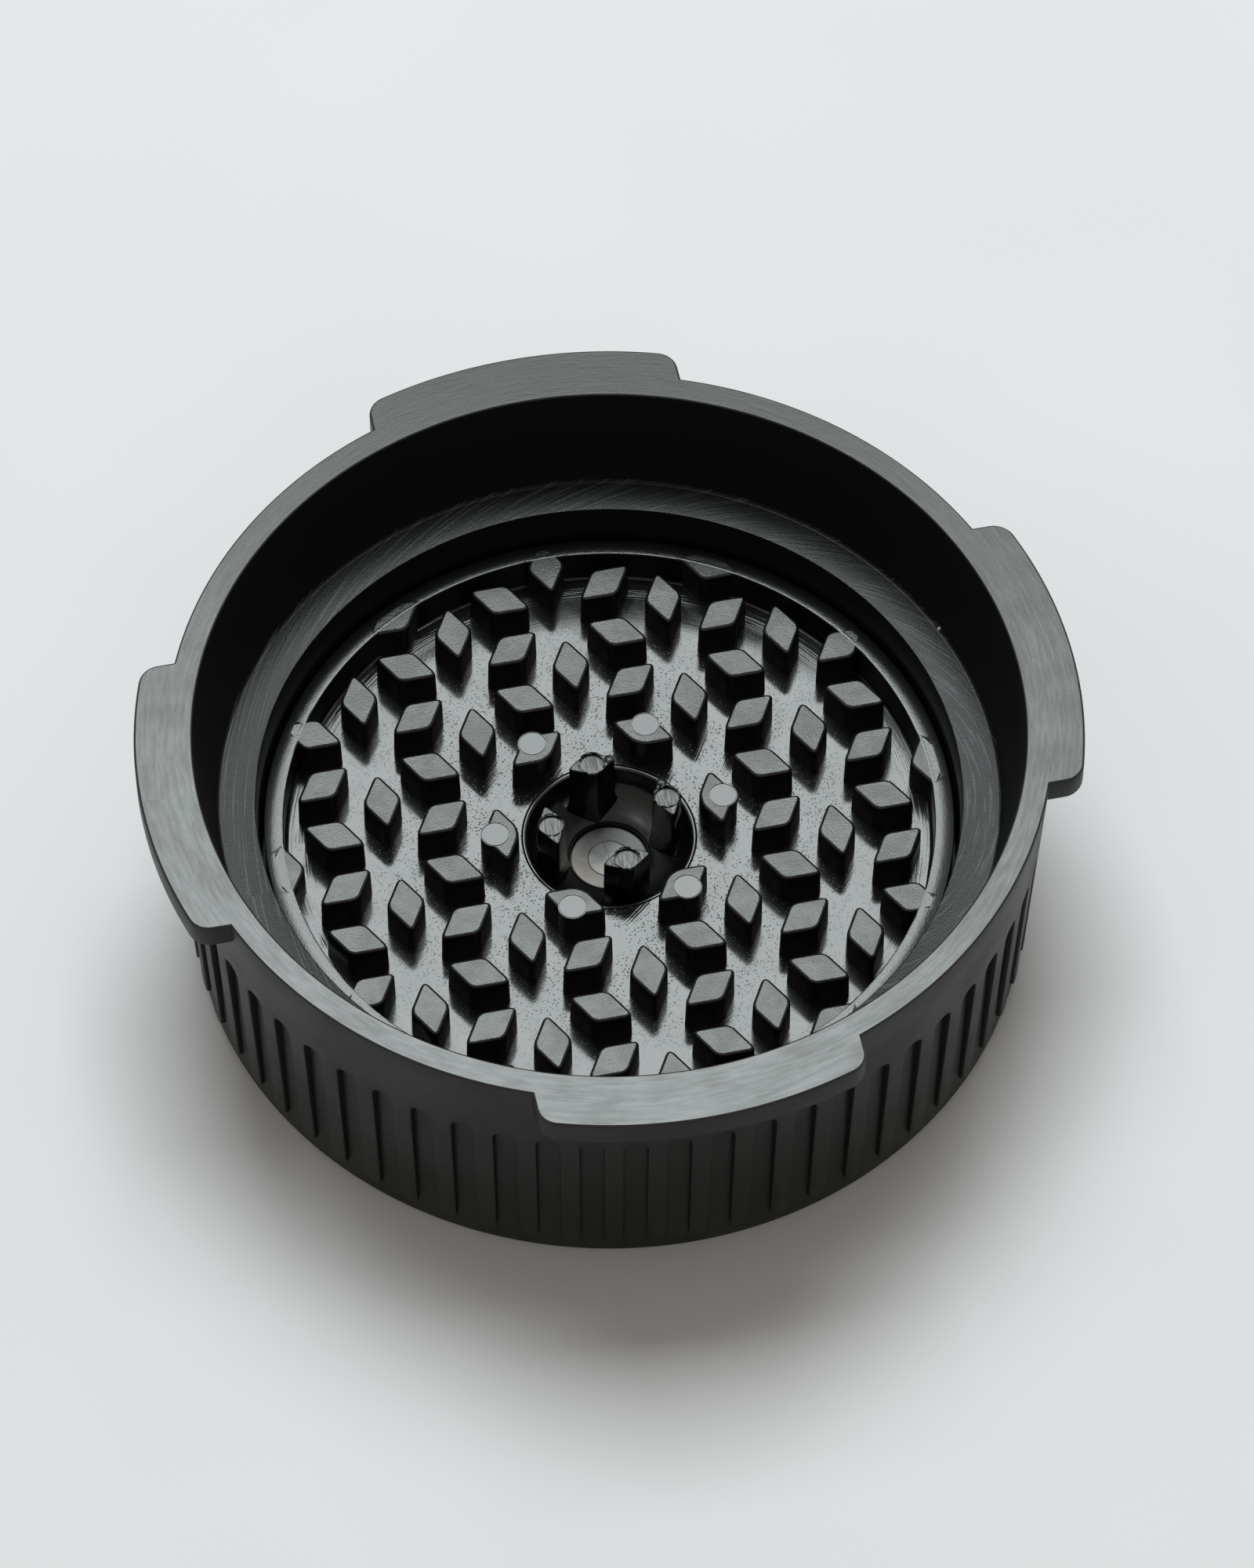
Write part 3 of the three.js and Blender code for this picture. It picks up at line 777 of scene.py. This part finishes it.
def draw_arcs(d, enter):
    place = d.put("ShaderNodeSeparateXYZ", {0: enter["Vector"]}).outputs
    dx = d.calc("SUBTRACT", place["X"], enter["Centre X"])
    dy = d.calc("SUBTRACT", place["Y"], enter["Centre Y"])
    reach = d.calc("SQRT", d.calc("ADD", d.calc("MULTIPLY", dx, dx), d.calc("MULTIPLY", dy, dy)))
    steps = d.calc("DIVIDE", reach, enter["Spacing"])
    wander = d.calc("MULTIPLY", d.noise(enter["Vector"], 90.0, 1.0), enter["Wander"])
    angle = d.calc("MULTIPLY", d.calc("ARCTAN2", dy, dx), 3.0)
    along = d.put("ShaderNodeCombineXYZ", {"X": d.calc("ADD", steps, wander), "Y": angle}).outputs[0]
    lines = d.noise(along, 1.0, 2.0, 0.65)
    bold = d.between(lines, 0.55, 0.61)
    return {"Height": lines, "Lines": bold}


def draw_streaks(d, enter):
    place = d.put("ShaderNodeSeparateXYZ", {0: enter["Vector"]}).outputs
    reach = d.calc("SQRT", d.calc("ADD", d.calc("MULTIPLY", place["X"], place["X"]),
                                  d.calc("MULTIPLY", place["Y"], place["Y"])))
    around = d.calc("MULTIPLY", d.calc("ARCTAN2", place["Y"], place["X"]), STREAK_R)
    flat = d.put("ShaderNodeCombineXYZ", {
        "X": d.calc("DIVIDE", around, enter["Length"]), "Y": d.calc("DIVIDE", reach, enter["Width"]),
        "Z": d.calc("DIVIDE", place["Z"], enter["Width"])}).outputs[0]
    return {"Height": d.noise(flat, 1.0, 3.0, 0.6)}


def draw_flecks(d, enter):
    cells = d.put("ShaderNodeTexVoronoi", {
        "Vector": enter["Vector"], "Scale": d.calc("DIVIDE", 1.0, enter["Spacing"])})
    lot = d.put("ShaderNodeSeparateColor", {0: cells.outputs["Color"]}).outputs
    chosen = d.calc("LESS_THAN", lot[0], enter["Share"])
    size = d.calc("MULTIPLY", enter["Size"], d.calc("ADD", 0.4, lot[1]))
    inside = d.calc("LESS_THAN", cells.outputs["Distance"], size)
    return {"Mask": d.calc("MULTIPLY", chosen, inside)}


def draw_change(d, enter):
    slow = d.noise(enter["Vector"], d.calc("DIVIDE", 1.0, enter["Size"]), 2.0, 0.55)
    return {"Value": d.between(slow, 0.3, 0.7)}


GRAIN = effect("moulded_grain", [("Vector", None), ("Cell", 0.0002)], ["Height"], draw_grain)
ARCS = effect("turning_arcs", [("Vector", None), ("Centre X", 0.0), ("Centre Y", 0.0),
                               ("Spacing", 0.0003), ("Wander", 1.0)], ["Height", "Lines"], draw_arcs)
STREAKS = effect("brushed_streaks", [("Vector", None), ("Length", 0.003), ("Width", 0.0002)],
                 ["Height"], draw_streaks)
FLECKS = effect("flecks", [("Vector", None), ("Spacing", 0.001), ("Share", 0.1), ("Size", 0.2)],
                ["Mask"], draw_flecks)
CHANGE = effect("slow_change", [("Vector", None), ("Size", 0.005)], ["Value"], draw_change)


# %% [markdown]
# ## Finishes
# Everything black here is the same plastic; what differs is how the mould was finished where it
# touched. So each finish is a Principled BSDF with nearly the same colour, and the work is in
# its roughness and its bump. Bump distances are real: a few hundredths of a millimetre at most.

# %% Start a finish
BLACK = (0.0050, 0.0053, 0.0054, 1)
BORE_BLACK = (0.0028, 0.0029, 0.0030, 1)
# The wall's near-black is the plastic's own; its warm tint is a painted reflection of the shaded table
# in front.
WALL_BLACK_WARM_PAINTED_REFLECTION = (0.0038, 0.0036, 0.0029, 1)
SCORED_BLACK = (0.030, 0.033, 0.035, 1)
DUST, DIM_DUST = (0.5, 0.5, 0.48, 1), (0.3, 0.3, 0.28, 1)


def finish_named(name, colour=BLACK, roughness=0.4, ior=1.5):
    stuff = bpy.data.materials.new(name)
    stuff.use_nodes = True
    d = Draft(stuff.node_tree)
    shader = stuff.node_tree.nodes["Principled BSDF"]
    shader.inputs["Base Color"].default_value = colour
    shader.inputs["Roughness"].default_value = roughness
    shader.inputs["IOR"].default_value = ior
    place = d.put("ShaderNodeTexCoord").outputs["Object"]
    return stuff, d, shader, place


def use(d, group, place, **values):
    inputs = {"Vector": place}
    inputs.update({name.replace("_", " "): value for name, value in values.items()})
    made = d.put("ShaderNodeGroup", node_tree=group)
    for name, value in inputs.items():
        if isinstance(value, bpy.types.NodeSocket):
            d.tree.links.new(value, made.inputs[name])
        else:
            made.inputs[name].default_value = value
    return made.outputs


def bump(d, height, depth_mm, under=None):
    inputs = {"Height": height, "Strength": 1.0, "Distance": depth_mm * MM}
    if under is not None:
        inputs["Normal"] = under
    return d.put("ShaderNodeBump", inputs).outputs[0]


def connect(d, shader, **sockets):
    for name, value in sockets.items():
        d.tree.links.new(value, shader.inputs[name.replace("_", " ")])


def tinted(d, mask, low, high):
    """A colour between two by a mask."""
    return d.put("ShaderNodeMix", {0: mask, 6: low, 7: high}, data_type="RGBA").outputs[2]


# %% Finishes of the shell: brushed rim, dark bore, turned ledge, moulded wall
RIM_CROWN = -0.05                            # metres per metre; the rim seems to fall outwards
LEDGE_CRUMB, LEDGE_CRUMB_R = (29.03 * MM, 10.13 * MM, LEDGE_Z * MM), 0.00033


def rim_finish():
    stuff, d, shader, place = finish_named("rim_brushed")
    streaks = use(d, STREAKS, place, Length=0.0022, Width=0.0003)["Height"]
    grain = use(d, GRAIN, place, Cell=0.00018)["Height"]
    cloud = use(d, CHANGE, place, Size=0.0035)["Value"]
    reach = d.put("ShaderNodeVectorMath", {0: place, 1: (1, 1, 0)}, operation="MULTIPLY").outputs[0]
    reach = d.put("ShaderNodeVectorMath", {0: reach}, operation="LENGTH").outputs[1]
    fall = d.calc("MULTIPLY", reach, RIM_CROWN)
    crown = d.put("ShaderNodeBump", {"Height": fall, "Distance": 1.0}).outputs[0]
    normal = bump(d, grain, 0.005, bump(d, streaks, 0.0065, crown))
    rough = d.calc("ADD", d.between(streaks, 0.3, 0.7, 0.27, 0.34), d.calc("MULTIPLY", cloud, 0.05))
    connect(d, shader, Normal=normal, Roughness=rough)
    shader.inputs["Specular IOR Level"].default_value = 0.62
    return stuff


def bore_finish():
    stuff, d, shader, place = finish_named("bore_dark", BORE_BLACK, 0.42)
    grain = use(d, GRAIN, place, Cell=0.00022)["Height"]
    connect(d, shader, Normal=bump(d, grain, 0.012))
    shader.inputs["Specular IOR Level"].default_value = 0.35
    return stuff


def ledge_finish():
    stuff, d, shader, place = finish_named("ledge_turned")
    arcs = use(d, ARCS, place, Centre_X=0.014, Centre_Y=-0.004, Spacing=0.00026, Wander=0.8)
    grain = use(d, GRAIN, place, Cell=0.00014)["Height"]
    specks = use(d, FLECKS, place, Spacing=0.0022, Share=0.06, Size=0.035)["Mask"]
    normal = bump(d, grain, 0.02, bump(d, arcs["Height"], 0.018))
    rough = d.calc("ADD", d.between(arcs["Lines"], 0, 1, 0.26, 0.22), d.calc("MULTIPLY", grain, 0.05))
    scored = tinted(d, arcs["Lines"], BLACK, SCORED_BLACK)
    reach = d.put("ShaderNodeVectorMath", {0: place, 1: LEDGE_CRUMB}, operation="DISTANCE").outputs[1]
    torn = d.calc("ADD", reach, d.calc("MULTIPLY", d.noise(place, 5000.0), 0.0002))
    pale = d.calc("MAXIMUM", specks, d.calc("LESS_THAN", torn, LEDGE_CRUMB_R))
    connect(d, shader, Normal=normal, Roughness=rough, Base_Color=tinted(d, pale, scored, DUST))
    shader.inputs["Specular IOR Level"].default_value = 0.16
    return stuff


def wall_finish():
    stuff, d, shader, place = finish_named("wall_moulded", WALL_BLACK_WARM_PAINTED_REFLECTION, 0.45)
    grain = use(d, GRAIN, place, Cell=0.00016)["Height"]
    cloud = use(d, CHANGE, place, Size=0.006)["Value"]
    specks = use(d, FLECKS, place, Spacing=0.0016, Share=0.05, Size=0.03)["Mask"]
    connect(d, shader, Normal=bump(d, grain, 0.012),
            Roughness=d.between(cloud, 0, 1, 0.42, 0.5),
            Base_Color=tinted(d, specks, WALL_BLACK_WARM_PAINTED_REFLECTION, DIM_DUST))
    shader.inputs["Specular IOR Level"].default_value = 0.34
    return stuff


RIM, BORE, LEDGE, WALL = rim_finish(), bore_finish(), ledge_finish(), wall_finish()
print("shell finishes:", ", ".join(stuff.name for stuff in (RIM, BORE, LEDGE, WALL)))

# %% Finishes of the floor: satin peg tops, plain peg sides, polished floor, glossy cup
def peg_top_finish():
    stuff, d, shader, place = finish_named("peg_tops")
    grain = use(d, GRAIN, place, Cell=0.00015)["Height"]
    cloud = use(d, CHANGE, place, Size=0.002)["Value"]
    connect(d, shader, Normal=bump(d, grain, 0.03), Roughness=d.between(cloud, 0, 1, 0.25, 0.32))
    return stuff


def ring_finish():
    stuff, d, shader, place = finish_named("ring_top")
    grain = use(d, GRAIN, place, Cell=0.00014)["Height"]
    nicks = use(d, FLECKS, place, Spacing=0.0011, Share=0.3, Size=0.14)["Mask"]
    normal = bump(d, d.calc("SUBTRACT", 1.0, nicks), 0.03, bump(d, grain, 0.02))
    connect(d, shader, Normal=normal, Roughness=d.between(grain, 0.3, 0.7, 0.16, 0.22))
    return stuff


def pin_disc_finish():
    stuff, d, shader, place = finish_named("pin_discs", roughness=0.19)
    marks = use(d, ARCS, place, Centre_X=0.05, Centre_Y=-0.03, Spacing=0.00012, Wander=0.4)
    grain = use(d, GRAIN, place, Cell=0.0004)["Height"]
    connect(d, shader, Normal=bump(d, marks["Height"], 0.004, bump(d, grain, 0.008)))
    return stuff


def peg_side_finish():
    stuff, d, shader, place = finish_named("peg_sides", roughness=0.28)
    grain = use(d, GRAIN, place, Cell=0.0003)["Height"]
    connect(d, shader, Normal=bump(d, grain, 0.006))
    return stuff


def floor_finish():
    stuff, d, shader, place = finish_named("floor_polished")
    arcs = use(d, ARCS, place, Centre_X=0.0, Centre_Y=0.0, Spacing=0.00016, Wander=0.6)
    milled = use(d, ARCS, place, Centre_X=-0.03, Centre_Y=0.03, Spacing=0.00017, Wander=0.3)
    coarse = use(d, FLECKS, place, Spacing=0.00034, Share=0.9, Size=0.19)["Mask"]
    fine = use(d, FLECKS, place, Spacing=0.0002, Share=0.8, Size=0.27)["Mask"]
    pits = d.calc("MAXIMUM", coarse, fine)
    cloud = use(d, CHANGE, place, Size=0.004)["Value"]
    distance = d.put("ShaderNodeVectorMath", {0: place, 1: (0, 0, FLOOR_Z * MM)},
                     operation="DISTANCE").outputs[1]
    near_well = d.between(distance, 0.011, 0.024, 1.0, 0.15)
    near_ring = d.between(distance, 0.0232, 0.0242)
    speckled = d.calc("MULTIPLY", pits, d.calc("MULTIPLY", near_well, d.between(cloud, 0.0, 0.25)))
    milling = d.calc("MULTIPLY", milled["Height"], d.between(distance, 0.009, 0.016, 1.0, 0.35))
    normal = bump(d, milling, 0.012, bump(d, arcs["Height"], 0.002))
    normal = bump(d, d.calc("MULTIPLY", arcs["Height"], near_ring), 0.02, normal)
    normal = bump(d, d.calc("SUBTRACT", 1.0, speckled), 0.03, normal)
    rough = d.calc("ADD", d.between(cloud, 0, 1, 0.10, 0.16), d.calc("MULTIPLY", speckled, 0.4))
    connect(d, shader, Normal=normal, Roughness=rough)
    return stuff


def torn_finish():
    stuff, d, shader, place = finish_named("post_tops")
    scratches = d.put("ShaderNodeVectorMath", {0: place, 1: (9000, 700, 700)}, operation="MULTIPLY")
    lines = d.noise(scratches.outputs[0], 1.0, 2.0, 0.6)
    grain = use(d, GRAIN, place, Cell=0.0002)["Height"]
    connect(d, shader, Normal=bump(d, grain, 0.014, bump(d, lines, 0.014)),
            Roughness=d.between(lines, 0.35, 0.65, 0.24, 0.46))
    return stuff


def cup_finish():
    stuff, d, shader, place = finish_named("cup_glossy", BORE_BLACK)
    grain = use(d, GRAIN, place, Cell=0.0006)["Height"]
    streaks = use(d, STREAKS, place, Length=0.004, Width=0.0002)["Height"]
    connect(d, shader, Normal=bump(d, grain, 0.006),
            Roughness=d.between(streaks, 0.3, 0.7, 0.2, 0.26))
    return stuff


PEG_TOPS, PIN_DISCS, PEG_SIDES = peg_top_finish(), pin_disc_finish(), peg_side_finish()
RING = ring_finish()
FLOOR, CUP, TORN = floor_finish(), cup_finish(), torn_finish()
print("floor finishes:", ", ".join(
    stuff.name for stuff in (PEG_TOPS, PIN_DISCS, PEG_SIDES, RING, FLOOR, CUP, TORN)))

# %% Silicone of the valve and seal, satin plastic of the underside
WARM_SILICONE = (0.2, 0.165, 0.13, 1)
WARM_SIDE = (-170, -170, 0)                  # per metre; the valve turns warmer and lighter towards its left front
SILICONE_REACH = (0.6 * MM, 0.55 * MM, 0.5 * MM)


def silicone_finish(name, dark, light, smooth, matt):
    stuff, d, shader, place = finish_named(name, ior=1.42)
    cloud = use(d, CHANGE, place, Size=0.0012)["Value"]
    dust = use(d, FLECKS, place, Spacing=0.0003, Share=0.3, Size=0.2)["Mask"]
    grain = use(d, GRAIN, place, Cell=0.0002)["Height"]
    side = d.put("ShaderNodeVectorMath", {0: place, 1: WARM_SIDE}, operation="DOT_PRODUCT").outputs[1]
    warm_side_tone = tinted(d, d.between(side, -0.1, 0.9), tinted(d, cloud, dark, light), WARM_SILICONE)
    connect(d, shader, Normal=bump(d, grain, 0.014), Roughness=d.between(cloud, 0, 1, smooth, matt),
            Base_Color=tinted(d, d.calc("MULTIPLY", dust, 0.25), warm_side_tone, DUST))
    shader.inputs["Subsurface Weight"].default_value = 0.25
    shader.inputs["Subsurface Radius"].default_value = SILICONE_REACH
    shader.inputs["Subsurface Scale"].default_value = 1.0
    return stuff


def cover_finish():
    stuff, d, shader, place = finish_named("cover_satin", roughness=0.46)
    grain = use(d, GRAIN, place, Cell=0.0002)["Height"]
    arcs = use(d, ARCS, place, Centre_X=0.0, Centre_Y=0.0, Spacing=0.0004, Wander=1.0)
    cloud = use(d, CHANGE, place, Size=0.005)["Value"]
    connect(d, shader, Normal=bump(d, grain, 0.014, bump(d, arcs["Height"], 0.008)),
            Roughness=d.between(cloud, 0, 1, 0.42, 0.52))
    return stuff


# Flange and petals are one silicone. The petals are smoother, and their lighter colour is painted
# light where the low dome catches the lamp.
SILICONE = silicone_finish("silicone_grey", (0.07, 0.071, 0.07, 1), (0.13, 0.13, 0.127, 1), 0.42, 0.55)
SMOOTH_SILICONE_PAINTED_LIGHT = silicone_finish("silicone_smooth_painted_light", (0.12, 0.121, 0.12, 1), (0.17, 0.17, 0.168, 1),
                                  0.26, 0.36)
COVER = cover_finish()
print("other finishes:", ", ".join(stuff.name for stuff in (SILICONE, SMOOTH_SILICONE_PAINTED_LIGHT, COVER)))

# %% [markdown]
# ## Dressing the pieces
# One moulding can carry several finishes, as the mould does. `dress` gives a piece its main
# finish and then hands groups of faces, picked by height, radius and facing, to the others.

# %% Give each face its finish
def dress(piece, main, *others):
    piece.data.materials.clear()
    for stuff in (main, *(other for other, _ in others)):
        piece.data.materials.append(stuff)
    shape(piece)
    bpy.ops.mesh.select_all(action="SELECT")
    piece.active_material_index = 0
    bpy.ops.object.material_slot_assign()
    for slot, (stuff, test) in enumerate(others, 1):
        faces = pick("FACE", test)
        piece.active_material_index = slot
        bpy.ops.object.material_slot_assign()
        print(f"{piece.name}: {stuff.name} on {faces} faces")
    bpy.ops.object.mode_set(mode="OBJECT")


def upward(face, least):
    return face.normal.z > least


dress(shell, WALL,
      (RIM, lambda mid, f: mid.z > RIM_Z - 0.2 and upward(f, 0.3)),
      (BORE, lambda mid, f: away(mid) < BORE_R + 0.05 and mid.z > LEDGE_FOOT_Z and not upward(f, 0.3)),
      (LEDGE, lambda mid, f: near(mid.z, LEDGE_Z, 0.45) and away(mid) < 31 and f.normal.z > 0.2),
      (BORE, lambda mid, f: away(mid) < LEDGE_R + 0.02 and mid.z < LEDGE_Z and mid.z > FLANGE_TOP))
dress(plate, FLOOR,
      (PEG_SIDES, lambda mid, f: mid.z > FLOOR_Z + 0.05 and not upward(f, 0.9)),
      (PEG_TOPS, lambda mid, f: mid.z > PEG_TOP_Z - 0.17 and f.normal.z > 0.2),
      (PIN_DISCS, lambda mid, f: mid.z > PEG_TOP_Z - 0.1 and upward(f, 0.9)
       and abs(away(mid) - PIN_CIRCLE_R) < 0.12 and len(f.verts) > 30),
      (RING, lambda mid, f: mid.z > PEG_TOP_Z - 0.15 and away(mid) > RING_R and f.normal.z > 0.2))
dress(cup, CUP, (TORN, lambda mid, f: mid.z > POST_TOP_Z - 0.3 and upward(f, 0.3)))
dress(valve, SILICONE)
for piece in petals:
    dress(piece, SMOOTH_SILICONE_PAINTED_LIGHT)
for piece in (retainer, cover):
    dress(piece, COVER)
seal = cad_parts["floor_seal"]
seal.data.materials.clear()
seal.data.materials.append(SILICONE)

# %% [markdown]
# ## Stage, light and camera
# The cap stands on a pale matt table. One large soft light hangs behind and above it, where it
# mirrors in every level face, so black plastic reads as pale grey on its tops and black on its
# sides. A weak even sky keeps the sides from vanishing.

# %% Table, light and camera
TABLE_DARK, TABLE_LIGHT = (0.623, 0.605, 0.635, 1), (0.643, 0.625, 0.655, 1)
SKY_COLOUR, SKY_STRENGTH = (1.0, 0.985, 0.88, 1), 0.40


def table_finish():
    stuff, d, shader, place = finish_named("table_pale", roughness=0.6)
    smudge = use(d, CHANGE, place, Size=0.05)["Value"]
    grain = use(d, GRAIN, place, Cell=0.0005)["Height"]
    connect(d, shader, Base_Color=tinted(d, smudge, TABLE_DARK, TABLE_LIGHT),
            Normal=bump(d, grain, 0.01))
    return stuff


bpy.ops.mesh.primitive_plane_add(size=8)
table = started("table")
table.data.materials.append(table_finish())

sky = bpy.data.worlds.new("sky")
sky.use_nodes = True
sky.node_tree.nodes["Background"].inputs["Color"].default_value = SKY_COLOUR
sky.node_tree.nodes["Background"].inputs["Strength"].default_value = SKY_STRENGTH
bpy.context.scene.world = sky
bpy.context.scene.view_settings.view_transform = "Standard"

EYE = Vector((-61.3, -289.4, 440.05)) * MM
RIGHT, UP, BACK = (Vector(v) for v in (
    (0.97827, -0.20731, 0.00321), (0.16830, 0.80303, 0.57167), (-0.12109, -0.55871, 0.82047)))
camera = bpy.data.objects.new("camera", bpy.data.cameras.new("camera"))
camera.data.lens, camera.data.sensor_width = 151.3, 36
camera.data.clip_start, camera.data.clip_end = 0.02, 20
camera.matrix_world = Matrix((
    (RIGHT.x, UP.x, BACK.x, EYE.x), (RIGHT.y, UP.y, BACK.y, EYE.y),
    (RIGHT.z, UP.z, BACK.z, EYE.z), (0, 0, 0, 1)))
bpy.context.scene.collection.objects.link(camera)
bpy.context.scene.camera = camera


def soft_light(name, towards, distance, width, height, radiance, colour):
    """An area light that looks at the cap from a direction; radiance is what it would mirror."""
    lamp = bpy.data.lights.new(name, "AREA")
    lamp.shape, lamp.size, lamp.size_y = "RECTANGLE", width, height
    lamp.energy = radiance * width * height * math.pi
    lamp.color = colour
    holder = bpy.data.objects.new(name, lamp)
    aim = Vector(towards).normalized()
    holder.location = aim * distance
    holder.rotation_euler = aim.to_track_quat("Z", "Y").to_euler()
    bpy.context.scene.collection.objects.link(holder)
    print(f"{name}: {width} by {height} m at {distance} m")


soft_light("window", towards=(0.0433, 0.4124, 0.91), distance=1.3, width=0.76, height=0.7,
           radiance=9.6, colour=(0.92, 1.0, 1.0))

# %% Update the scene and finish
bpy.context.view_layer.update()
